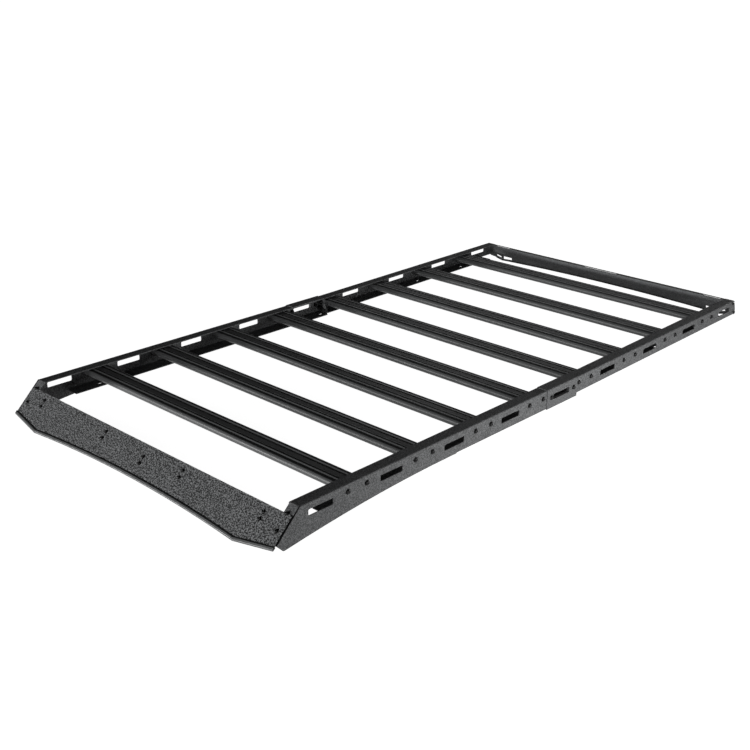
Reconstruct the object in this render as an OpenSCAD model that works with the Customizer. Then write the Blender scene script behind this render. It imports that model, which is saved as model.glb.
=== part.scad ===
// Low flat roof rack: two folded side rails, each in a front and a rear half,
// eight slotted crossbars, a raked front fairing and a raked rear panel.
// Millimetres. +Y runs to the rear, +X to the vehicle's left, +Z up.
// The rack stands on z = 0, on the lowest corners of the fairing.

/* [Rack] */
// Width over the outer faces of the side rails
rack_w = 1250; // [1150:10:1350]
// Thickness of the folded sheet of rails and panels
sheet = 3; // [2.5:0.5:3]
// Thickness of the paired splice plates
splice_sheet = 2; // [1.5:0.5:3]

/* [Side rails] */
// Height of a front rail over its flanges
rail_h = 66.3; // [64:0.1:70]
// Width of a rail's top flange
top_flange_w = 41; // [38:1:46]
// Width of a rail's bottom flange
bottom_flange_w = 59; // [55:1:62]
// Outside radius of the folds
fold_r = 4.5; // [3.5:0.5:5]
// Upward slope of the rear half against the front half, in degrees
rear_slope = 0.66; // [0:0.02:1]
// How much shallower the rear rails are than the front rails
rear_step = 7.4; // [4:0.2:9]

/* [Tie-down slots] */
// Length of a slot
slot_l = 93; // [80:1:100]
// Height of a slot
slot_h = 19; // [15:1:21]
// Corner radius of a slot
slot_r = 4; // [2:0.5:6]
// Distance between the slots of a front rail
front_pitch = 276.3; // [270:0.1:280]
// Distance between the slots of a rear rail
rear_pitch = 283.5; // [275:0.1:284]

/* [Crossbars] */
// Depth of a bar, front to rear
bar_w = 85; // [80:1:88]
// Height of a bar
bar_h = 24; // [23:0.5:26]
// Opening of a T-slot
t_open = 8; // [6:0.5:9]
// Distance of a T-slot from the bar's middle
t_offset = 13.5; // [12:0.5:15]

/* [Front fairing] */
// Rake of the front, in degrees below level
front_rake = 45; // [45]
// Distance down the rake from the rail's top to the fairing's top edge
fairing_top = 30.7; // [26:0.1:34]
// Distance down the rake to the edge trim at the middle of the fairing
fairing_mid = 128.2; // [122:0.1:130]
// How much deeper the fairing is at its two corners
fairing_arch = 19; // [12:1:22]
// Height of the edge trim
trim_h = 12; // [10:1:14]

/* [Rear panel] */
// Rake of the rear ends, in degrees from the vertical
rear_rake = 18; // [10:1:22]
// How far the front of the panel's web stands ahead of the rails' ends
rear_inset = 3.2; // [3.2:0.2:8]
// Height of the web at the middle, measured down its rake
panel_s = 66.5; // [64:0.5:70]

/* [Feet] */
// Length of a foot slot in the bottom flanges
foot_l = 20; // [14:1:26]
// Width of a foot slot
foot_w = 9; // [7:0.5:11]

/* [Hidden] */
half_w = rack_w / 2;
inner_x = half_w - sheet;
flange_x = half_w - top_flange_w;
foot_x = 590;
eps = 0.01;

// Stations along the rack, from the middle slot at y = 0
joint_y = 93;
joint_gap = 2;
rear_start = joint_y + joint_gap;
hinge_y = 90;
front_slots = [-4, -3, -2, -1, 0];
rear_slots = [1, 2, 3, 4];
bars_per_half = 4;
front_feet_y = [-975, 76];
rear_feet_y = [670, 972];
skirt_y = -580;
front_flange_y = -1081;
rear_flange_y = 1160;
rail_end_y = 1218.6;

// Heights above the underside of a front rail
front_slot_z = 36.9;
rear_slot_z = 39.7;
front_bar_z = 44;
rear_bar_z = 45;
rear_bottom = rear_step;
bottom_fold_y = skirt_y + 40;

// Nose of the front rails: a raked edge, a square cut and a rounded tip
tab_w = 39;
tab_l = 118.7;
tab_r = 10;
tip_r = 8;
skirt_r = 5280;
rake_dir = [-cos(front_rake), -sin(front_rake)];
cut_dir = [sin(front_rake), -cos(front_rake)];
nose_top = [-1181, rail_h];
nose_low = nose_top + tab_l * rake_dir;
tip_start = nose_low - tip_r * rake_dir - [skirt_y, -skirt_r];
tip_b = tip_start * cut_dir;
tip_run = -tip_b - sqrt(tip_b * tip_b - tip_start * tip_start + pow(skirt_r + tip_r, 2));
tip_walk = abs(tip_run) < 200 ? tip_run : -2 * tip_b - tip_run;
tip_centre = nose_low - tip_r * rake_dir + tip_walk * cut_dir;

// Edge line of the fairing: an arc between the corners and a straight rise beyond
corner_x = 482;
end_x = 621;
corner_s = fairing_mid + fairing_arch;
end_s = fairing_mid - 6;
arch_r = (pow(corner_x, 2) + pow(fairing_arch, 2)) / (2 * fairing_arch);
arch_s = fairing_mid + arch_r;
wing_angle = atan((corner_s - end_s) / (end_x - corner_x));
wing_l = (end_x - corner_x) / cos(wing_angle);
trim_t = 9;
trim_grip = 8;
trim_gap = 0.4;
fairing_notch = [600.5, 30.2];
fairing_notch_r = 3.4;

// Splice plates
splice_y = [-80, joint_y];
backing_t = 5;
backing_z = [6, 60];

// Rear panel; distances named s run down its raked web
panel_y = rail_end_y - rear_inset;
panel_half_w = inner_x;
panel_arch = 11;
panel_corner_x = 505;
panel_r = (pow(panel_corner_x, 2) + pow(panel_arch, 2)) / (2 * panel_arch);
panel_edge = [[panel_corner_x, 11], [556, 13.5], [591, 3.5], [panel_half_w, -1]];
panel_inner_hole = [[496, -10.5], [543, -10.5], [546, 5.8], [497, 2.5]];
panel_outer_hole = [[556, -6.7], [577, -12.5], [583, -11.7], [583, -5], [558, 1.5]];
panel_flange = 19;
panel_slots = [[-530, 86], [0, 171], [530, 86]];
panel_slot_from = 5;
panel_slot_w = 15;
web_slot_s = 8.5;
web_slot_w = 8;
panel_tab_l = 56;
panel_tab_w = 24;
panel_fold_in = (fold_r * (1 - sin(rear_rake)) - sheet) / cos(rear_rake);
bend_steps = 8;
panel_top_s = fold_r * cos(rear_rake) - panel_fold_in * sin(rear_rake);
rear_trim_x = 588;
rear_trim_grip = 5;
rear_trim_t = 1.2;
rear_trim_skins = [
    [-rear_trim_t, rear_trim_t, rear_trim_grip],
    [0, sheet, 0],
    [sheet, rear_trim_t, rear_trim_grip]
];

// The rack is centred front to rear and stands on its lowest corner
rack_mid_y = -25.8;
rack_low_z = -46.62;

COLOUR = "#2b2b2c";
BAR_COLOUR = "#202021";
TRIM_COLOUR = "#161616";

// Moves the rack from its working position to its standing position
module placed() {
    translate([0, -rack_mid_y, -rack_low_z])
        children();
}

// Tilts a piece of the rear half up about the joint
module rear_half() {
    translate([0, hinge_y, 0])
        rotate([rear_slope, 0, 0])
            translate([0, -hinge_y, 0])
                children();
}

// Mirrors a left-hand piece to the right where side is -1
module on_side(side) {
    if (side > 0)
        children();
    else
        mirror([1, 0, 0])
            children();
}

// Stands a side view, drawn as (y, z), on edge between two values of x
module side_view(x0, x1) {
    translate([x0, 0, 0])
        rotate([90, 0, 90])
            linear_extrude(height = x1 - x0)
                children();
}

// Rectangle with round corners, centred
module rounded_rect(l, h, r) {
    square([l - 2 * r, h], center = true);
    square([l, h - 2 * r], center = true);
    for (x = [-1, 1], y = [-1, 1])
        translate([x * (l / 2 - r), y * (h / 2 - r)])
            circle(r = r, $fn = 32);
}

module tie_down_slots(places, pitch, z) {
    for (i = places)
        translate([i * pitch, z])
            rounded_rect(slot_l, slot_h, slot_r);
}

// Slot for a foot bolt, cut straight down
module foot_slot(y) {
    run = foot_l - foot_w;
    translate([foot_x, y, -20])
        linear_extrude(height = 60)
            union() {
                square([foot_w, run], center = true);
                for (k = [-1, 1])
                    translate([0, k * run / 2])
                        circle(d = foot_w, $fn = 32);
            }
}

// Stretches a section, drawn as (x, z), from y0 to y1
module along(y0, y1) {
    translate([0, y1, 0])
        rotate([90, 0, 0])
            linear_extrude(height = y1 - y0)
                children();
}

// Section of a flange and its fold, as (x, z) from the outside corner; the web goes on below the fold
module flange_section(w, t) {
    translate([-w, -t])
        square([w - fold_r, t]);
    translate([-fold_r, -fold_r])
        difference() {
            circle(r = fold_r, $fn = 48);
            circle(r = fold_r - t, $fn = 32);
            translate([-fold_r - 1, -fold_r - 1])
                square([fold_r + 1, 2 * fold_r + 2]);
            translate([-1, -fold_r - 1])
                square([fold_r + 2, fold_r + 1]);
        }
}

// Side view of a front rail's web, with the skirt that drops to the nose
module front_web_outline() {
    difference() {
        union() {
            polygon([
                [joint_y, fold_r],
                [joint_y, rail_h - fold_r],
                [nose_top[0] - fold_r, rail_h - fold_r],
                nose_low,
                tip_centre + tip_r * rake_dir,
                tip_centre + [0, -tip_r],
                [skirt_y, 0],
                [bottom_fold_y, 0],
                [bottom_fold_y, fold_r]
            ]);
            translate(tip_centre)
                circle(r = tip_r, $fn = 64);
        }
        translate([skirt_y, -skirt_r])
            circle(r = skirt_r, $fn = 1440);
    }
}

// Carries a drawing of (x, distance down the rake) to the raked front
module on_front_rake(depth, t) {
    translate([0, nose_top[0], nose_top[1]])
        rotate([180 + front_rake, 0, 0])
            translate([0, 0, depth])
                linear_extrude(height = t)
                    children();
}

// Tab of a rail behind the fairing, with one round corner
module nose_tab() {
    x0 = half_w - tab_w;
    on_front_rake(0, sheet) {
        polygon([
            [x0, 0],
            [half_w, 0],
            [half_w, tab_l],
            [x0 + tab_r, tab_l],
            [x0 + tab_r, tab_l - tab_r],
            [x0, tab_l - tab_r]
        ]);
        translate([x0 + tab_r, tab_l - tab_r])
            circle(r = tab_r, $fn = 32);
    }
}

// Everything in front of the raked nose
module ahead_of_nose() {
    side_view(0, rack_w)
        polygon([
            nose_top + [0, 20],
            nose_top,
            nose_top + 20 * rake_dir,
            nose_top + 20 * rake_dir + [-40, 40]
        ]);
}

module front_rail(side) {
    on_side(side)
        difference() {
            union() {
                side_view(inner_x, half_w)
                    difference() {
                        front_web_outline();
                        tie_down_slots(front_slots, front_pitch, front_slot_z);
                    }
                difference() {
                    along(nose_top[0] - 2 * fold_r, joint_y)
                        translate([half_w, rail_h])
                            flange_section(top_flange_w, sheet);
                    ahead_of_nose();
                }
                along(bottom_fold_y, joint_y)
                    translate([half_w, 0])
                        mirror([0, 1])
                            flange_section(bottom_flange_w, sheet);
                translate([half_w - bottom_flange_w, front_flange_y, 0])
                    cube([bottom_flange_w - sheet, bottom_fold_y - front_flange_y, sheet]);
                nose_tab();
            }
            for (y = front_feet_y)
                foot_slot(y);
        }
}

// y of the raked rear end of a rail at height z
function rear_end_y(z) = rail_end_y + (rail_h - z) * tan(rear_rake);

// Section of a rear rail: a web between two folded flanges
module rear_rail_section() {
    translate([half_w, rail_h])
        flange_section(top_flange_w, sheet);
    translate([inner_x, rear_bottom + fold_r])
        square([sheet, rail_h - rear_bottom - 2 * fold_r]);
    translate([half_w, rear_bottom])
        mirror([0, 1])
            flange_section(bottom_flange_w, sheet);
}

// Everything behind the raked rear end of the rails
module behind_rear_end() {
    side_view(0, rack_w)
        polygon([
            [rear_end_y(0), 0],
            [rear_end_y(0) + 60, 0],
            [rear_end_y(0) + 60, 2 * rail_h],
            [rear_end_y(2 * rail_h), 2 * rail_h]
        ]);
}

module rear_rail(side) {
    on_side(side)
        difference() {
            rear_half()
                difference() {
                    along(rear_start, rear_end_y(0) + 20)
                        rear_rail_section();
                    behind_rear_end();
                    translate([0, rear_flange_y, 0])
                        cube([inner_x, 200, rear_bottom + fold_r]);
                    side_view(inner_x - 10, rack_w)
                        tie_down_slots(rear_slots, rear_pitch, rear_slot_z);
                }
            for (y = rear_feet_y)
                foot_slot(y);
        }
}

// Outer cover over the joint: a web plate and a top plate in one angle
module splice_plate(side) {
    top = rail_h + splice_sheet;
    on_side(side) {
        side_view(half_w, half_w + splice_sheet)
            difference() {
                translate([splice_y[0], 0])
                    square([splice_y[1] - splice_y[0], top - fold_r]);
                tie_down_slots([0], front_pitch, front_slot_z);
            }
        along(splice_y[0], splice_y[1])
            translate([half_w + splice_sheet, top])
                flange_section(top_flange_w + splice_sheet, splice_sheet);
    }
}

// Backing plate behind the web at the joint
module splice_backing(side) {
    on_side(side)
        side_view(inner_x - backing_t, inner_x)
            difference() {
                translate([splice_y[0], backing_z[0]])
                    square([joint_y - sheet - splice_y[0], backing_z[1] - backing_z[0]]);
                tie_down_slots([0], front_pitch, front_slot_z);
            }
}

// Plates that close the ends of the two halves where they bolt together
module front_joint_plate(side) {
    on_side(side)
        translate([flange_x + 2, joint_y - sheet, sheet])
            cube([inner_x - flange_x - 2, sheet, rail_h - 2 * sheet]);
}

module rear_joint_plate(side) {
    z0 = rear_bottom + sheet;
    on_side(side)
        rear_half()
            translate([flange_x + 2, rear_start, z0])
                cube([inner_x - flange_x - 2, sheet, rail_h - sheet - z0]);
}

// T-slot cut into a face of the bar, mouth at y = 0 and depth along -y
module t_slot() {
    lip = 2.4;
    cavity_w = 14.5;
    cavity_h = 5.6;
    translate([-t_open / 2, -lip - eps])
        square([t_open, lip + 1]);
    translate([-cavity_w / 2, -lip - cavity_h])
        square([cavity_w, cavity_h]);
}

// Section of a crossbar, drawn as (y, z)
module bar_section() {
    r = bar_h / 2;
    straight = bar_w - bar_h;
    groove_w = 5;
    groove_d = 1.2;
    groove_offset = 27;
    difference() {
        union() {
            square([straight, bar_h], center = true);
            for (k = [-1, 1])
                translate([k * straight / 2, 0])
                    circle(r = r, $fn = 96);
        }
        for (k = [-1, 1], face = [0, 1])
            mirror([0, face])
                translate([k * t_offset, r])
                    t_slot();
        for (k = [-1, 1])
            translate([k * groove_offset - groove_w / 2, r - groove_d])
                square([groove_w, groove_d + 1]);
    }
}

module bar_at(y, z) {
    translate([-inner_x, y, z])
        rotate([90, 0, 90])
            linear_extrude(height = 2 * inner_x)
                bar_section();
}

// Bars 1 to 4 sit between the front slots and bars 5 to 8 between the rear slots
module crossbar(i) {
    bay = i - bars_per_half - 0.5;
    if (i <= bars_per_half)
        bar_at(bay * front_pitch, front_bar_z);
    else
        rear_half()
            bar_at(bay * rear_pitch, rear_bar_z);
}

// Outline of the fairing sheet: its lower edge lies inside the trim, and its top edge
// has a bolt notch near each end
module fairing_outline() {
    drop = trim_grip / cos(wing_angle);
    difference() {
        polygon([
            [-end_x, fairing_top],
            [end_x, fairing_top],
            [end_x, end_s + drop],
            [corner_x, corner_s + drop],
            [-corner_x, corner_s + drop],
            [-end_x, end_s + drop]
        ]);
        translate([0, arch_s])
            circle(r = arch_r - trim_grip, $fn = 1440);
        for (k = [-1, 1])
            translate([k * fairing_notch[0], fairing_notch[1]])
                circle(r = fairing_notch_r, $fn = 32);
    }
}

module fairing_panel() {
    on_front_rake(-sheet, sheet)
        fairing_outline();
}

// Section of the edge trim, edge line at x = 0 and lower edge towards -x:
// flat on top, round below, with a groove that grips the sheet
module trim_section() {
    r = trim_t / 2;
    difference() {
        union() {
            translate([r - trim_h, -r])
                square([trim_h - r, trim_t]);
            translate([r - trim_h, 0])
                circle(r = r, $fn = 48);
        }
        translate([-trim_grip, -sheet / 2])
            square([trim_grip + 1, sheet]);
    }
}

// The stretch of trim along the arc between the two corners
module trim_arc() {
    half = asin(corner_x / arch_r) + 0.2;
    intersection() {
        translate([0, arch_s, 0])
            rotate([0, 0, -90 - half])
                rotate_extrude(angle = 2 * half, $fn = 1440)
                    translate([arch_r, 0])
                        trim_section();
        cube([2 * corner_x - trim_gap, 1000, 100], center = true);
    }
}

// The straight stretch of trim beyond a corner, butted against the arc with a fine gap
module trim_wing() {
    intersection() {
        translate([corner_x, corner_s, 0])
            rotate([0, 0, -wing_angle])
                translate([-5, 0, 0])
                    rotate([90, 0, 90])
                        linear_extrude(height = wing_l + 10)
                            mirror([1, 0])
                                trim_section();
        translate([corner_x + trim_gap / 2, 0, -50])
            cube([end_x - corner_x - trim_gap / 2, 1000, 100]);
    }
}

module fairing_edge_trim() {
    translate([0, nose_top[0], nose_top[1]])
        rotate([180 + front_rake, 0, 0])
            translate([0, 0, -sheet / 2]) {
                trim_arc();
                trim_wing();
                mirror([1, 0, 0])
                    trim_wing();
            }
}

// Carries a drawing of (x, distance down the panel) to the raked rear panel
module on_rear_rake(depth, t) {
    translate([0, panel_y, rail_h])
        rotate([rear_rake - 90, 0, 0])
            translate([0, 0, depth])
                linear_extrude(height = t)
                    children();
}

// Web of the rear panel without its holes, with the lower edge moved down by d
module rear_web_region(d) {
    low = panel_s + d;
    difference() {
        polygon(concat(
            [[-panel_half_w, panel_top_s], [panel_half_w, panel_top_s]],
            [for (i = [3 : -1 : 0]) [panel_edge[i][0], low + panel_edge[i][1]]],
            [for (i = [0 : 3]) [-panel_edge[i][0], low + panel_edge[i][1]]]
        ));
        translate([0, low + panel_r])
            circle(r = panel_r, $fn = 1440);
    }
}

// Points of a bend of radius r about c, from straight up to square on the web
function bend(c, r) = [
    for (i = [0 : bend_steps])
        let (a = 90 - i * (90 - rear_rake) / bend_steps)
            c + r * [cos(a), sin(a)]
];

// Section of the panel's flange and fold, as (y, z), with a short leg that runs into the web
module panel_flange_section() {
    c = [panel_y - panel_fold_in, rail_h - fold_r];
    across = [cos(rear_rake), sin(rear_rake)];
    leg = 2 * [sin(rear_rake), -cos(rear_rake)];
    inner = bend(c, fold_r - sheet);
    polygon(concat(
        [[panel_y - panel_flange, rail_h]],
        bend(c, fold_r),
        [c + fold_r * across + leg, c + (fold_r - sheet) * across + leg],
        [for (i = [bend_steps : -1 : 0]) inner[i]],
        [[panel_y - panel_flange, rail_h - sheet]]
    ));
}

// Flange forward, raked web with two holes at each end, and a bolted tab along each rail;
// at three places a slot in the flange and one in the web leave the fold between them as a bar for straps
module rear_panel() {
    flange_y = panel_y - panel_flange;
    tab_top = [panel_y + (sheet + 0.5) * tan(rear_rake), rail_h - sheet - 0.5];
    tab_low = [panel_y + panel_tab_l * tan(rear_rake), rail_h - panel_tab_l];
    rear_half()
        difference() {
            union() {
                on_rear_rake(0, sheet)
                    difference() {
                        rear_web_region(0);
                        for (k = [-1, 1], hole = [panel_inner_hole, panel_outer_hole])
                            translate([0, panel_s])
                                scale([k, 1])
                                    polygon(hole);
                    }
                side_view(-flange_x, flange_x)
                    panel_flange_section();
                for (k = [-1, 1])
                    on_side(k)
                        side_view(panel_half_w - sheet, panel_half_w)
                            polygon([
                                tab_top - [panel_tab_w, 0],
                                tab_top + [1, 0],
                                tab_low + [1, 0],
                                tab_low - [panel_tab_w, 0]
                            ]);
            }
            for (slot = panel_slots) {
                translate([slot[0], flange_y + panel_slot_from + panel_slot_w / 2, rail_h - 2 * sheet])
                    linear_extrude(height = 3 * sheet)
                        rounded_rect(slot[1], panel_slot_w, 3);
                on_rear_rake(-2 * sheet, 4 * sheet)
                    translate([slot[0], web_slot_s])
                        rounded_rect(slot[1], web_slot_w, 3);
            }
        }
}

// Rubber channel pushed over the lower edge of the rear panel: a skin in front, a lip below the sheet
// and a skin behind, each given as its start, its thickness and its reach up the panel
module rear_edge_trim() {
    rear_half()
        for (skin = rear_trim_skins)
            on_rear_rake(skin[0], skin[1])
                intersection() {
                    difference() {
                        rear_web_region(rear_trim_t);
                        rear_web_region(-skin[2]);
                    }
                    square([2 * rear_trim_x, 4 * rail_h], center = true);
                }
}

placed() {
    color(COLOUR) front_rail(1);  // left_front_rail
    color(COLOUR) front_rail(-1);  // right_front_rail
    color(COLOUR) rear_rail(1);  // left_rear_rail
    color(COLOUR) rear_rail(-1);  // right_rear_rail
    color(COLOUR) splice_plate(1);  // left_splice_plate
    color(COLOUR) splice_plate(-1);  // right_splice_plate
    color(COLOUR) splice_backing(1);  // left_splice_backing
    color(COLOUR) splice_backing(-1);  // right_splice_backing
    color(COLOUR) front_joint_plate(1);  // left_front_joint_plate
    color(COLOUR) front_joint_plate(-1);  // right_front_joint_plate
    color(COLOUR) rear_joint_plate(1);  // left_rear_joint_plate
    color(COLOUR) rear_joint_plate(-1);  // right_rear_joint_plate
    for (i = [1 : 2 * bars_per_half])
        color(BAR_COLOUR) crossbar(i);
    color(COLOUR) fairing_panel();
    color(TRIM_COLOUR) fairing_edge_trim();
    color(COLOUR) rear_panel();
    color(TRIM_COLOUR) rear_edge_trim();
}
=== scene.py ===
import math

import bmesh
import bpy
from mathutils import Matrix, Vector


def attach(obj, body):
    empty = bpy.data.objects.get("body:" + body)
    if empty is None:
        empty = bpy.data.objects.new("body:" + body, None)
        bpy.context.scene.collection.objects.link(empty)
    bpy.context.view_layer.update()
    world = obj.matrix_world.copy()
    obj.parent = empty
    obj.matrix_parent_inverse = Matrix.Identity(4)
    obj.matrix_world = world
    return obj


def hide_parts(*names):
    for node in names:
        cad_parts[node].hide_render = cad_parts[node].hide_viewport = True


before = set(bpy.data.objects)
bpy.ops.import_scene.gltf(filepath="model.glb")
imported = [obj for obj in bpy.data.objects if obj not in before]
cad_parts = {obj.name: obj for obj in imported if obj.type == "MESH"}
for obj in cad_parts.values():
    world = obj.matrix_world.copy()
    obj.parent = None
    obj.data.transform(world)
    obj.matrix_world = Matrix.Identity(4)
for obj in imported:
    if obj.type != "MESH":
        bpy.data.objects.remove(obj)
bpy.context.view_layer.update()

# The rack's own sizes and stations, in millimetres, as they are before it is moved by SHIFT
# to where it stands in the row frame
MM = 0.001
SHIFT = Vector((0, 25.8, 46.62))
HALF_W = 625.0
SHEET = 3.0
RAIL_H = 66.3

# The raked front: the rails' top ends at NOSE_Y, and the rake falls at 45 degrees from there
NOSE_Y = -1181.0
DOWN_RAKE = Vector((0, -math.sqrt(0.5), -math.sqrt(0.5)))
OUT_OF_RAKE = Vector((0, -math.sqrt(0.5), math.sqrt(0.5)))

# The joint, from which the rear half slopes up. Its rails' underside is REAR_LOW above the front's
HINGE_Y = 90.0
REAR_SLOPE = math.radians(0.66)
REAR_LOW = 7.4

# The joint plates' front faces, and their inner edge at the top and at the bottom
FRONT_PLATE_Y, REAR_PLATE_Y = 90.0, 95.0
PLATE_TOP_X, PLATE_LOW_X = 585.0, 567.0

# Thickness of the plates outside and behind the web at the joint
SPLICE_SHEET, SPLICE_BACKING = 2.0, 5.0

# The crossbars: four on each half, evenly spaced from the middle of the rack, and the height of
# their middle line
BARS = 8
FRONT_PITCH, REAR_PITCH = 276.3, 283.5
FRONT_BAR_Z, REAR_BAR_Z = 44.0, 45.0

# Small fasteners
BIG_BOLT = {"head_r": 7.0, "head_h": 4.2, "socket": 5.0, "washer_r": 8.5}
SMALL_BOLT = {"head_r": 5.2, "head_h": 3.2, "socket": 4.0, "washer_r": 6.2}
BIG_NUT = {"flats": 13.0, "height": 6.5, "bolt_r": 4.0}
SMALL_NUT = {"flats": 10.0, "height": 5.0, "bolt_r": 3.0}

# Bolts on the sides: beside each crossbar's middle line and above it, else as (y, z)
BAR_BOLT_Y, BAR_BOLT_RISE = 37.3, 0.2
SPLICE_BOLTS = [(-55.8, 37.0), (71.6, 37.0)]
REAR_BOLTS = [(1206.0, 56.6), (1220.0, 19.2)]

# Bolts through the joint plates
JOINT_BOLT_X = 600.0
JOINT_BOLT_Z = [24.0, 48.0]

# Bolts on the raked front: distances down the rake on the tabs, and each pair on the fairing
# as its x and the places down the rake of its upper and lower bolt
TAB_BOLT_X = 600.5
TAB_BOLTS = [30.2, 83.3]
FAIRING_PAIRS = [
    (-528.0, 53.8, 75.6),
    (-187.0, 53.7, 75.7),
    (15.5, 70.2, 92.1),
    (187.0, 53.7, 75.7),
    (528.0, 53.8, 75.6),
]

# Shape of a fastener: sides of a round ring, washers' thickness, the straight rim below a bolt's
# dome, the dome's steps and the angle it turns through
RING_SIDES = 36
WASHER_T, NUT_WASHER_T = 1.5, 1.4
HEAD_RIM = 0.5
DOME_STEPS = 5
DOME_SWEEP = math.radians(62)

# The edge trim's upper edge: how far down the rake it is in the middle, how much further at its two
# corners, where they are, and how fast it comes back up beyond them. Along the upper edge a strip of the
# lip this wide is painted dark as shade, and the bulb below it is painted paler as lit
TRIM_MIDDLE, TRIM_RISE, TRIM_CORNER_X = 128.2, 19.0, 482.0
TRIM_WING_SLOPE = 0.18
SHADED_LIP_WIDTH = 3.4

# The painted shade along the raked corner, a near-black strip without sheen in place of the shadow in the
# gap at the fold: where it starts across the rack, how deep it reaches behind the rake's face, and its tone
SHADE_SEAM_X, SHADE_SEAM_DEPTH = 620.7, 0.7
SHADE_SEAM_LEVEL = 0.009

# Painted light along a crossbar's top: a pale painted highlight line and a dark painted shade line, from
# and to these distances from its middle line, and how much paler or darker than the coat they are
PAINTED_HIGHLIGHT_LINE, PAINTED_SHADE_LINE = (18.0, 24.8), (26.2, 36.2)
PAINTED_HIGHLIGHT_GAIN, PAINTED_SHADE_GAIN = 5.0, 0.25

# The floor, in metres, and its tone in plain light. It glows white, a little brighter away from
# the rack: from the first FLOOR_GLOW to the second, over this reach from its middle
FLOOR_SIZE, FLOOR_DROP = 60.0, 0.0005
FLOOR_LEVEL = 0.55
FLOOR_REACH, FLOOR_GLOW = (1.2, 4.0), (0.96, 1.05)

# The sky's strength as the object sees it
SKY_LEVEL = 0.012

# The photograph's viewpoint: place in millimetres, turns in degrees, lens and sensor in millimetres
CAMERA_AT = Vector((2519.69, -2944.66, 1461.83))
CAMERA_HEADING, CAMERA_DOWN, CAMERA_ROLL = 42.87109, 21.68725, 0.79418
CAMERA_LENS, CAMERA_SENSOR = 54.18, 36.0


def standing(p):
    """A point of the front half, in metres of the row frame."""
    return (Vector(p) + SHIFT) * MM


def rear_standing(p):
    """A point of the rear half, which slopes up from the joint."""
    y, z = p[1] - HINGE_Y, p[2]
    c, s = math.cos(REAR_SLOPE), math.sin(REAR_SLOPE)
    return standing((p[0], HINGE_Y + y * c - z * s, y * s + z * c))


def on_rake(x, down, out):
    """A point on the raked front: down the rake, and out from the tabs' face."""
    return standing(Vector((x, NOSE_Y, RAIL_H)) + down * DOWN_RAKE + out * OUT_OF_RAKE)


# Shader nodes

def new_material(name):
    """A material, its node tree and its shader."""
    m = bpy.data.materials.new(name)
    m.use_nodes = True
    return m, m.node_tree, m.node_tree.nodes["Principled BSDF"]


def node(tree, kind, **values):
    """A node with some of its inputs or settings given by name."""
    n = tree.nodes.new(kind)
    for key, v in values.items():
        if key in n.inputs:
            n.inputs[key].default_value = v
        else:
            setattr(n, key, v)
    return n


def feed(tree, socket, value):
    """Sets an input to a number or a colour, or links it to another node's output."""
    if isinstance(value, bpy.types.NodeSocket):
        tree.links.new(value, socket)
    else:
        socket.default_value = value


def maths(tree, operation, *values):
    """A sum of numbers and other nodes' outputs."""
    n = node(tree, "ShaderNodeMath", operation=operation)
    for socket, v in zip(n.inputs, values):
        feed(tree, socket, v)
    return n.outputs[0]


def blend(tree, how, share, first, second):
    """Two colours mixed: the first where share is 0, and the second mixed in where it is 1."""
    n = node(tree, "ShaderNodeMix", data_type="RGBA", blend_type=how)
    feed(tree, n.inputs[0], share)
    feed(tree, n.inputs[6], first)
    feed(tree, n.inputs[7], second)
    return n.outputs[2]


def noise(tree, where, scale, detail, rough):
    """Noise with this many clumps in a metre."""
    n = node(tree, "ShaderNodeTexNoise", Scale=scale, Detail=detail, Roughness=rough)
    tree.links.new(where, n.inputs["Vector"])
    return n.outputs["Fac"]


def ramp(tree, value, stops):
    """Turns a value into a colour by stops of (value, colour)."""
    n = node(tree, "ShaderNodeValToRGB")
    first, last = n.color_ramp.elements
    first.position, first.color = stops[0]
    last.position, last.color = stops[-1]
    for position, colour in stops[1:-1]:
        n.color_ramp.elements.new(position).color = colour
    tree.links.new(value, n.inputs["Fac"])
    return n.outputs["Color"]


def span(tree, value, low, high, to_low, to_high):
    """Carries a value from one range over to another, and holds it at the ends."""
    n = node(tree, "ShaderNodeMapRange")
    for name, v in (("From Min", low), ("From Max", high), ("To Min", to_low), ("To Max", to_high)):
        n.inputs[name].default_value = v
    tree.links.new(value, n.inputs["Value"])
    return n.outputs["Result"]


def past(tree, value, edge, soft):
    """0 below an edge and 1 above it, over a soft width to either side."""
    return span(tree, value, edge - soft, edge + soft, 0.0, 1.0)


def parts(tree, vector):
    """The x, y and z of a vector."""
    n = node(tree, "ShaderNodeSeparateXYZ")
    tree.links.new(vector, n.inputs[0])
    return n.outputs


def along(tree, where, direction):
    """How far a place lies along a direction."""
    n = node(tree, "ShaderNodeVectorMath", operation="DOT_PRODUCT")
    tree.links.new(where, n.inputs[0])
    n.inputs[1].default_value = direction
    return n.outputs["Value"]


def place_in_row(tree):
    """Metres of the row frame, which the frame's nodes have as their own."""
    return node(tree, "ShaderNodeTexCoord").outputs["Object"]


def bump(tree, bsdf, height, strength, distance):
    """Fine relief, distance metres deep, in the shading alone."""
    n = node(tree, "ShaderNodeBump", Strength=strength, Distance=distance)
    tree.links.new(height, n.inputs["Height"])
    tree.links.new(n.outputs["Normal"], bsdf.inputs["Normal"])


def grey(level, tint=0.02):
    """A grey with a faint blue tint."""
    return (level * (1 - tint), level, level * (1 + tint), 1)


# Where a look changes on a surface

def corner_seam_shade(tree, where):
    """1 on the narrow strip along the raked corner, which is painted dark as shade in place of the shadowed
    gap at the fold, else 0.
    """
    soft = 0.2 * MM
    wide = maths(tree, "ABSOLUTE", parts(tree, where)[0])
    beyond = past(tree, wide, SHADE_SEAM_X * MM, soft)
    face = OUT_OF_RAKE.dot(on_rake(0, 0, 0))
    on_face = past(tree, along(tree, where, OUT_OF_RAKE), face - SHADE_SEAM_DEPTH * MM, soft)
    return maths(tree, "MULTIPLY", beyond, on_face)


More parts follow.
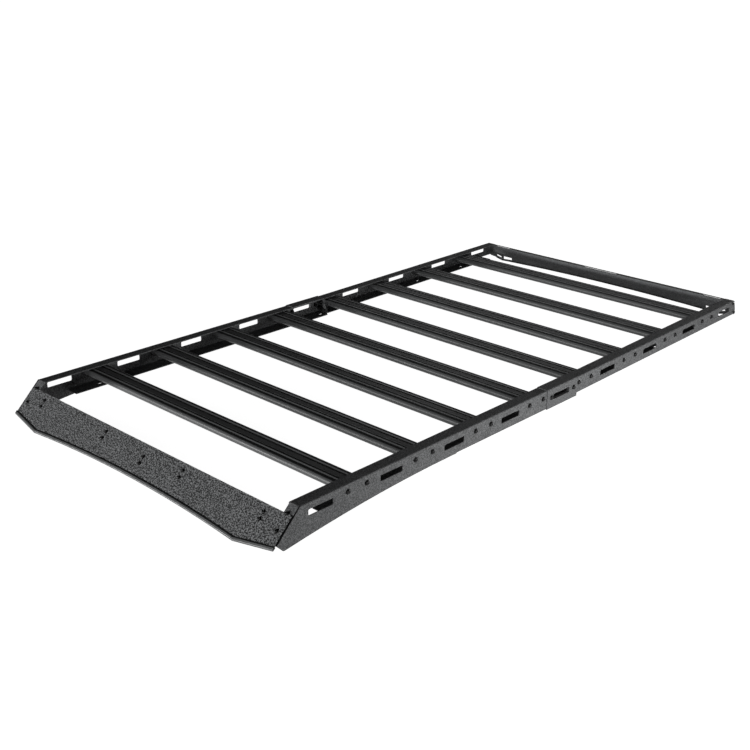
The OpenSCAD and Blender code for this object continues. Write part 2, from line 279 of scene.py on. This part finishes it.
def below_trim_edge(tree, where):
    """Metres down the rake from the trim's upper edge: arched between the corners, straight beyond."""
    rise, corner = TRIM_RISE * MM, TRIM_CORNER_X * MM
    middle = DOWN_RAKE.dot(on_rake(0, TRIM_MIDDLE, 0))
    wide = maths(tree, "ABSOLUTE", parts(tree, where)[0])
    square = maths(tree, "MULTIPLY", wide, wide)
    arc = maths(tree, "MULTIPLY_ADD", square, rise / corner ** 2, middle)
    wing = maths(tree, "MULTIPLY_ADD", wide, -TRIM_WING_SLOPE, middle + rise + corner * TRIM_WING_SLOPE)
    edge = maths(tree, "MINIMUM", arc, wing)
    return maths(tree, "SUBTRACT", along(tree, where, DOWN_RAKE), edge)


def across_bar(tree, where):
    """Metres from the middle line of the nearest crossbar."""
    y = maths(tree, "SUBTRACT", parts(tree, where)[1], SHIFT.y * MM)
    halves = []
    for pitch in (FRONT_PITCH * MM, REAR_PITCH * MM):
        from_bar = maths(tree, "SUBTRACT", y, pitch / 2)
        nearest = maths(tree, "WRAP", from_bar, pitch / 2, -pitch / 2)
        halves.append(maths(tree, "ABSOLUTE", nearest))
    is_rear = maths(tree, "GREATER_THAN", y, 0.0)
    step = maths(tree, "SUBTRACT", halves[1], halves[0])
    return maths(tree, "MULTIPLY_ADD", step, is_rear, halves[0])


def bar_painted_line(tree, away, line):
    """1 on one of the painted light lines along a crossbar's top, else 0."""
    soft = 0.4 * MM
    inner, outer = [edge * MM for edge in line]
    on_line = maths(tree, "SUBTRACT", past(tree, away, inner, soft), past(tree, away, outer, soft))
    up = parts(tree, node(tree, "ShaderNodeNewGeometry").outputs["Normal"])[2]
    return maths(tree, "MULTIPLY", on_line, past(tree, up, 0.8, 0.05))


# Materials

def powder_coat(name, level, grain, spread, relief):
    """Textured powder coat: peaks and valleys of the given grain, in metres, over a slow change of tone,
    with painted shade on the strip along the raked corner.
    """
    peak_share, sheen, rough = 0.95, 0.23, 0.60
    m, t, bsdf = new_material(name)
    where = place_in_row(t)
    peaks = noise(t, where, scale=1 / grain, detail=1.0, rough=0.5)
    clumps = noise(t, where, scale=0.34 / grain, detail=2.0, rough=0.5)
    slow = noise(t, where, scale=7.0, detail=3.0, rough=0.6)
    texture = maths(t, "MULTIPLY_ADD", peaks, peak_share, maths(t, "MULTIPLY", clumps, 1 - peak_share))
    valley, top = grey(level * (1 - spread)), grey(level * (1 + 2 * spread))
    body = ramp(t, texture, [(0.40, valley), (0.5, grey(level)), (0.62, top)])
    tone = ramp(t, slow, [(0.3, grey(0.94, tint=0)), (0.7, grey(1.0, tint=0))])
    # Painted shade: the strip along the raked corner is painted near-black and loses its sheen, standing in
    # for the shadow in the gap at the fold
    seam_shade = corner_seam_shade(t, where)
    coat = blend(t, "MULTIPLY", 1.0, body, tone)
    feed(t, bsdf.inputs["Base Color"], blend(t, "MIX", seam_shade, coat, grey(SHADE_SEAM_LEVEL)))
    feed(t, bsdf.inputs["Roughness"], span(t, texture, 0.35, 0.65, rough + 0.06, rough - 0.06))
    feed(t, bsdf.inputs["Specular IOR Level"], span(t, seam_shade, 0, 1, sheen, 0.0))
    bump(t, bsdf, texture, relief, grain * 0.22)
    return m


def extrusion_coat(name, level, gloss):
    """Satin coated extrusion: fine die lines that run along x, over the coat's faint grain.

    A painted highlight line runs along each outer land, and a painted shade line with less sheen runs above
    each nose."""
    line_share = 0.6
    m, t, bsdf = new_material(name)
    where = place_in_row(t)
    stretched = node(t, "ShaderNodeMapping", Scale=(1.2, 900.0, 900.0))
    t.links.new(where, stretched.inputs["Vector"])
    lines = noise(t, stretched.outputs["Vector"], scale=1.0, detail=2.0, rough=0.5)
    grain = noise(t, where, scale=420.0, detail=2.0, rough=0.5)
    texture = maths(t, "MULTIPLY_ADD", lines, line_share, maths(t, "MULTIPLY", grain, 1 - line_share))
    body = ramp(t, texture, [(0.36, grey(level * 0.55)), (0.64, grey(level * 1.6))])
    # Painted light: a highlight line is painted paler and a shade line darker along each crossbar's top
    away = across_bar(t, where)
    painted_highlight = bar_painted_line(t, away, PAINTED_HIGHLIGHT_LINE)
    painted_shade = bar_painted_line(t, away, PAINTED_SHADE_LINE)
    lifted = maths(t, "MULTIPLY_ADD", painted_highlight, PAINTED_HIGHLIGHT_GAIN - 1, 1.0)
    painted_light_gain = maths(t, "SUBTRACT", lifted, maths(t, "MULTIPLY", painted_shade, 1 - PAINTED_SHADE_GAIN))
    painted_light_body = node(t, "ShaderNodeVectorMath", operation="SCALE")
    feed(t, painted_light_body.inputs[0], body)
    feed(t, painted_light_body.inputs["Scale"], painted_light_gain)
    feed(t, bsdf.inputs["Base Color"], painted_light_body.outputs[0])
    feed(t, bsdf.inputs["Roughness"], span(t, texture, 0.35, 0.65, 0.48, 0.38))
    feed(t, bsdf.inputs["Specular IOR Level"], span(t, painted_shade, 0.0, 1.0, gloss, 0.3 * gloss))
    bump(t, bsdf, texture, 0.16, 0.12 * MM)
    return m


def rubber(name, level, lit_bulb_level):
    """Edge rubber: painted shade on the lip along its upper edge, and a painted highlight that makes the
    bulb below it paler, with more gloss on the bulb.
    """
    m, t, bsdf = new_material(name)
    where = place_in_row(t)
    skin = noise(t, where, scale=1400.0, detail=3.0, rough=0.6)
    scuff = noise(t, where, scale=60.0, detail=4.0, rough=0.65)
    shaded_and_lit_tones = [ramp(t, scuff, [(0.35, grey(v * 0.85)), (0.7, grey(v * 1.35))]) for v in (level, lit_bulb_level)]
    # Painted light: the lip is painted dark as shade and the bulb paler as lit
    painted_lit_bulb = past(t, below_trim_edge(t, where), SHADED_LIP_WIDTH * MM, 0.3 * MM)
    feed(t, bsdf.inputs["Base Color"], blend(t, "MIX", painted_lit_bulb, *shaded_and_lit_tones))
    feed(t, bsdf.inputs["Roughness"], span(t, scuff, 0.3, 0.7, 0.46, 0.38))
    feed(t, bsdf.inputs["Specular IOR Level"], span(t, painted_lit_bulb, 0.0, 1.0, 0.1, 0.5))
    feed(t, bsdf.inputs["Sheen Weight"], 0.05)
    bump(t, bsdf, skin, 0.3, 0.1 * MM)
    return m


def oiled_steel(name, level):
    """Blackened bolt steel under oil: dark and smooth, its tone and gloss changing from place to place."""
    m, t, bsdf = new_material(name)
    where = place_in_row(t)
    fine = noise(t, where, scale=2200.0, detail=3.0, rough=0.6)
    slow = noise(t, where, scale=120.0, detail=2.0, rough=0.5)
    body = ramp(t, slow, [(0.35, grey(level * 0.7)), (0.7, grey(level * 1.4))])
    feed(t, bsdf.inputs["Base Color"], body)
    feed(t, bsdf.inputs["Roughness"], span(t, fine, 0.3, 0.7, 0.22, 0.34))
    feed(t, bsdf.inputs["Specular IOR Level"], 0.15)
    bump(t, bsdf, fine, 0.12, 0.05 * MM)
    return m


RAIL_COAT = powder_coat("rail_coat", level=0.071, grain=0.0032, spread=0.42, relief=0.8)
PANEL_COAT = powder_coat("panel_coat", level=0.065, grain=0.0038, spread=0.95, relief=1.0)
REAR_COAT = powder_coat("rear_coat", level=0.080, grain=0.0032, spread=0.28, relief=0.6)
BAR_COAT = extrusion_coat("bar_coat", level=0.06, gloss=0.35)
# The fairing trim's lip and bulb are painted as shaded and lit tones of one rubber; the rear trim has one
# even tone
TRIM_RUBBER = rubber("trim_rubber", level=0.003, lit_bulb_level=0.074)
REAR_RUBBER = rubber("rear_rubber", level=0.009, lit_bulb_level=0.009)
BOLT_STEEL = oiled_steel("bolt_steel", level=0.007)


# The frame's nodes

def dress(o, material, edge):
    """Gives a node its material and a fine rounded edge, in millimetres, shaded smooth."""
    o.data.materials.clear()
    o.data.materials.append(material)
    b = o.modifiers.new("edge", "BEVEL")
    b.width = edge * MM
    b.segments = 2
    b.limit_method = "ANGLE"
    b.angle_limit = math.radians(40)
    b.use_clamp_overlap = True
    b.harden_normals = False
    w = o.modifiers.new("normals", "WEIGHTED_NORMAL")
    w.keep_sharp = True


def new_piece(name, bm):
    """An object in the scene with the shape that a bmesh holds."""
    mesh = bpy.data.meshes.new(name)
    bm.to_mesh(mesh)
    bm.free()
    o = bpy.data.objects.new(name, mesh)
    bpy.context.scene.collection.objects.link(o)
    return o


def joint_plate(cad, name):
    """Stands for a joint plate: its inner edge slants from the top flange's edge to the bottom flange's."""
    side = 1 if name.startswith("left") else -1
    if "front" in name:
        y, low, place = FRONT_PLATE_Y, SHEET, standing
    else:
        y, low, place = REAR_PLATE_Y, REAR_LOW + SHEET, rear_standing
    top, web_x = RAIL_H - SHEET, HALF_W - SHEET
    outline = [(web_x, low), (web_x, top), (PLATE_TOP_X, top), (PLATE_LOW_X, low)]
    bm = bmesh.new()
    near = [bm.verts.new(place((side * x, y, z))) for x, z in outline]
    far = [bm.verts.new(place((side * x, y + SHEET, z))) for x, z in outline]
    bm.faces.new(near)
    bm.faces.new(far)
    for k in range(4):
        after = (k + 1) % 4
        bm.faces.new((near[k], near[after], far[after], far[k]))
    bmesh.ops.recalc_face_normals(bm, faces=bm.faces)
    o = new_piece(name + "_slanted", bm)
    dress(o, RAIL_COAT, 0.4)
    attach(o, "root")
    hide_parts(cad.name)


def dress_rack():
    """Gives every node of the frame its look."""
    for name, o in list(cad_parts.items()):
        if name.startswith("crossbar"):
            dress(o, BAR_COAT, 0.5)
        elif name == "fairing_panel":
            dress(o, PANEL_COAT, 0.4)
        elif name == "rear_panel":
            dress(o, REAR_COAT, 0.4)
        elif name == "fairing_edge_trim":
            dress(o, TRIM_RUBBER, 0.3)
        elif name == "rear_edge_trim":
            dress(o, REAR_RUBBER, 0.2)
        elif "joint_plate" in name:
            joint_plate(o, name)
        else:
            dress(o, RAIL_COAT, 0.4)


# Fasteners, each a stack of rings around its axis

def circle(r, h):
    """A round ring: radius and height at any angle."""
    return lambda angle: (r, h)


def hexed(flats, h):
    """A six-sided ring, measured over its flats."""
    def ring(angle):
        from_flat = (angle + math.pi / 6) % (math.pi / 3) - math.pi / 6
        return flats / 2 / math.cos(from_flat), h
    return ring


def skin_rings(bm, rings, place):
    """Skins a stack of rings, in millimetres, closes both ends and sets it on the matrix place."""
    rows = []
    for ring in rings:
        row = []
        for k in range(RING_SIDES):
            a = 2 * math.pi * k / RING_SIDES
            r, h = ring(a)
            row.append(bm.verts.new(place @ (Vector((r * math.cos(a), r * math.sin(a), h)) * MM)))
        rows.append(row)
    for low, high in zip(rows, rows[1:]):
        for k in range(RING_SIDES):
            after = (k + 1) % RING_SIDES
            bm.faces.new((low[k], low[after], high[after], high[k]))
    bm.faces.new(list(reversed(rows[0])))
    bm.faces.new(rows[-1])


def button_bolt(bm, place, head_r, head_h, socket, washer_r):
    """Washer and button head with a hexagon socket, seated at height 0 of place."""
    w = WASHER_T
    rings = [circle(washer_r - 0.2, 0), circle(washer_r, 0.2), circle(washer_r, w - 0.3)]
    rings += [circle(washer_r - 0.3, w), circle(head_r + 0.4, w)]
    rings += [circle(head_r, w), circle(head_r, w + HEAD_RIM)]
    crown_r = socket * 0.72
    for k in range(1, DOME_STEPS + 1):
        a = k / DOME_STEPS * DOME_SWEEP
        inward = (1 - math.cos(a)) / (1 - math.cos(DOME_SWEEP))
        upward = math.sin(a) / math.sin(DOME_SWEEP)
        r = head_r - (head_r - crown_r) * inward
        rings.append(circle(r, w + HEAD_RIM + (head_h - HEAD_RIM) * upward))
    top = w + head_h
    mouth_r, point_r, floor = socket * 0.66, socket * 0.3, top - 2.4
    rings += [circle(mouth_r, top), hexed(socket + 0.3, top - 0.15), hexed(socket, top - 0.4)]
    rings += [hexed(socket, floor), circle(point_r, floor - 0.6)]
    skin_rings(bm, rings, place)


def hex_nut(bm, place, flats, height, bolt_r):
    """Nut on a thin washer, with the bolt's end showing through."""
    w = NUT_WASHER_T
    top = w + height
    washer_r, foot_r, crown_r = flats * 0.62, flats * 0.46, flats * 0.47
    rings = [circle(washer_r, 0), circle(washer_r, w), circle(foot_r, w)]
    rings += [hexed(flats, w + 0.6), hexed(flats, top - 0.8), circle(crown_r, top)]
    rings += [circle(bolt_r + 0.4, top), circle(bolt_r, top - 0.5)]
    rings += [circle(bolt_r, top + 1.6), circle(bolt_r - 0.7, top + 2.2)]
    skin_rings(bm, rings, place)


def seat(point, direction, spin):
    """Matrix whose z axis points along direction from a fastener's seat, turned by spin radians."""
    axis = Vector(direction).normalized().to_track_quat("Z", "Y").to_matrix().to_4x4()
    return Matrix.Translation(point) @ axis @ Matrix.Rotation(spin, 4, "Z")


def bar_bolts(bm, side):
    """Two bolt heads on the rail at each crossbar's end."""
    for i in range(BARS):
        bay = i - (BARS - 1) / 2
        if bay < 0:
            pitch, z, place = FRONT_PITCH, FRONT_BAR_Z, standing
        else:
            pitch, z, place = REAR_PITCH, REAR_BAR_Z, rear_standing
        for k in (-1, 1):
            at = place((side * HALF_W, bay * pitch + k * BAR_BOLT_Y, z + BAR_BOLT_RISE))
            button_bolt(bm, seat(at, (side, 0, 0), spin=0.7 * i + k), **BIG_BOLT)


def splice_bolts(bm, side):
    """Bolt heads on the splice plate, and nuts behind its backing."""
    for j, (y, z) in enumerate(SPLICE_BOLTS):
        outside = standing((side * (HALF_W + SPLICE_SHEET), y, z))
        inside = standing((side * (HALF_W - SHEET - SPLICE_BACKING), y, z))
        button_bolt(bm, seat(outside, (side, 0, 0), spin=0.4 + j), **BIG_BOLT)
        hex_nut(bm, seat(inside, (-side, 0, 0), spin=0.3 + j), **BIG_NUT)


def joint_bolts(bm, side):
    """Nuts ahead of the two joint plates, and bolt heads behind them."""
    rearward = (0, math.cos(REAR_SLOPE), math.sin(REAR_SLOPE))
    for j, z in enumerate(JOINT_BOLT_Z):
        x = side * JOINT_BOLT_X
        ahead = standing((x, FRONT_PLATE_Y, z))
        behind = rear_standing((x, REAR_PLATE_Y + SHEET, z))
        hex_nut(bm, seat(ahead, (0, -1, 0), spin=0.3 + j), **BIG_NUT)
        button_bolt(bm, seat(behind, rearward, spin=0.5 + j), **BIG_BOLT)


def rear_bolts(bm, side):
    """Bolt heads on the rail where the rear panel's tabs are."""
    for j, (y, z) in enumerate(REAR_BOLTS):
        at = rear_standing((side * HALF_W, y, z))
        button_bolt(bm, seat(at, (side, 0, 0), spin=0.6 + j), **SMALL_BOLT)


def fairing_bolts(bm):
    """Bolt heads on the fairing, and nuts behind it, or behind the tab too where there is one."""
    spots = [(k * TAB_BOLT_X, down, -SHEET) for k in (-1, 1) for down in TAB_BOLTS]
    for x, upper, lower in FAIRING_PAIRS:
        spots += [(x, upper, 0.0), (x, lower, 0.0)]
    for j, (x, down, back) in enumerate(spots):
        button_bolt(bm, seat(on_rake(x, down, SHEET), OUT_OF_RAKE, spin=0.9 * j), **SMALL_BOLT)
        hex_nut(bm, seat(on_rake(x, down, back), -OUT_OF_RAKE, spin=0.5 * j), **SMALL_NUT)


def fasteners(name, build, *details):
    """One piece made of a group of fasteners that ride on the rack."""
    bm = bmesh.new()
    build(bm, *details)
    bm.normal_update()
    o = new_piece(name, bm)
    o.data.materials.append(BOLT_STEEL)
    for p in o.data.polygons:
        p.use_smooth = True
    sharp = o.modifiers.new("sharp", "EDGE_SPLIT")
    sharp.split_angle = math.radians(35)
    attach(o, "root")


def bolt_rack():
    """All fasteners, in a few pieces."""
    for side, word in ((1, "left"), (-1, "right")):
        fasteners(word + "_bar_bolts", bar_bolts, side)
        fasteners(word + "_splice_bolts", splice_bolts, side)
        fasteners(word + "_joint_bolts", joint_bolts, side)
        fasteners(word + "_rear_bolts", rear_bolts, side)
    fasteners("fairing_bolts", fairing_bolts)


# Stage, light and camera

def floor_material():
    """White to the camera and in reflections, and still darker in shadow; plain and pale to other light."""
    m, t, bsdf = new_material("studio_floor")
    feed(t, bsdf.inputs["Base Color"], (FLOOR_LEVEL, FLOOR_LEVEL, FLOOR_LEVEL, 1))
    feed(t, bsdf.inputs["Roughness"], 0.9)
    feed(t, bsdf.inputs["Specular IOR Level"], 0.0)
    feed(t, bsdf.inputs["Emission Color"], (1, 1, 1, 1))
    path = node(t, "ShaderNodeLightPath")
    sees = maths(t, "MAXIMUM", path.outputs["Is Camera Ray"], path.outputs["Is Glossy Ray"])
    sees = maths(t, "MAXIMUM", sees, path.outputs["Is Transmission Ray"])
    away = node(t, "ShaderNodeVectorMath", operation="LENGTH")
    feed(t, away.inputs[0], place_in_row(t))
    glow = span(t, away.outputs["Value"], *FLOOR_REACH, *FLOOR_GLOW)
    feed(t, bsdf.inputs["Emission Strength"], maths(t, "MULTIPLY", sees, glow))
    return m


def make_floor():
    """A wide floor a hair below the rack, which belongs to the stage."""
    h, z = FLOOR_SIZE / 2, -FLOOR_DROP
    mesh = bpy.data.meshes.new("studio_floor")
    mesh.from_pydata([(-h, -h, z), (h, -h, z), (h, h, z), (-h, h, z)], [], [(0, 1, 2, 3)])
    mesh.materials.append(floor_material())
    floor = bpy.data.objects.new("studio_floor", mesh)
    bpy.context.scene.collection.objects.link(floor)


def area_lamp(name, at, target, size, watts):
    """A lamp that the camera doesn't see, turned toward target."""
    data = bpy.data.lights.new(name, "AREA")
    data.shape = "RECTANGLE"
    data.size, data.size_y = size
    data.energy = watts
    o = bpy.data.objects.new(name, data)
    o.location = at
    o.rotation_euler = (Vector(target) - Vector(at)).to_track_quat("-Z", "Y").to_euler()
    o.visible_camera = False
    bpy.context.scene.collection.objects.link(o)


def make_lamps():
    """Lamps named for where they stand, with places and watts fitted to the photo's tones."""
    fairing = (0, -0.6, 0.05)
    area_lamp("front_lamp", (1.2, -12.0, 0.7), fairing, (8.0, 1.0), 810)
    area_lamp("high_front_lamp", (1.2, -8.0, 4.0), fairing, (6.0, 1.0), 70)
    area_lamp("left_front_lamp", (-7.4, -10.0, 0.6), (0, 0, 0.05), (3.0, 0.6), 900)
    area_lamp("side_lamp", (2.15, 0.05, 0.2), (0, 0.05, 0.06), (1.2, 0.3), 31)
    area_lamp("rear_side_lamp", (3.4, 1.2, 0.3), (0.6, 0.3, 0.06), (1.0, 0.3), 19)
    area_lamp("high_rear_lamp", (-2.8, 6.0, 2.7), (0, 0.4, 0.05), (5.0, 0.9), 18)
    area_lamp("rear_lamp", (0.2, 8.0, 0.45), (0, 0.8, 0.05), (3.0, 0.6), 330)


def make_world():
    """White to the camera, a dim even sky to everything else."""
    w = bpy.data.worlds.new("studio")
    bpy.context.scene.world = w
    w.use_nodes = True
    t = w.node_tree
    sky = t.nodes["Background"]
    sky.inputs["Color"].default_value = (1, 1, 1, 1)
    path = node(t, "ShaderNodeLightPath")
    strength = span(t, path.outputs["Is Camera Ray"], 0, 1, SKY_LEVEL, 1.0)
    feed(t, sky.inputs["Strength"], strength)


def make_camera():
    """The photograph's own viewpoint."""
    data = bpy.data.cameras.new("photo_camera")
    data.sensor_width = CAMERA_SENSOR
    data.lens = CAMERA_LENS
    o = bpy.data.objects.new("photo_camera", data)
    heading = Matrix.Rotation(math.radians(CAMERA_HEADING), 4, "Z")
    tilt = Matrix.Rotation(math.radians(90 - CAMERA_DOWN), 4, "X")
    roll = Matrix.Rotation(math.radians(CAMERA_ROLL), 4, "Z")
    o.matrix_world = Matrix.Translation(standing(CAMERA_AT)) @ heading @ tilt @ roll
    bpy.context.scene.collection.objects.link(o)
    bpy.context.scene.camera = o


dress_rack()
bolt_rack()
make_floor()
make_lamps()
make_world()
make_camera()
bpy.context.scene.view_settings.view_transform = "Standard"
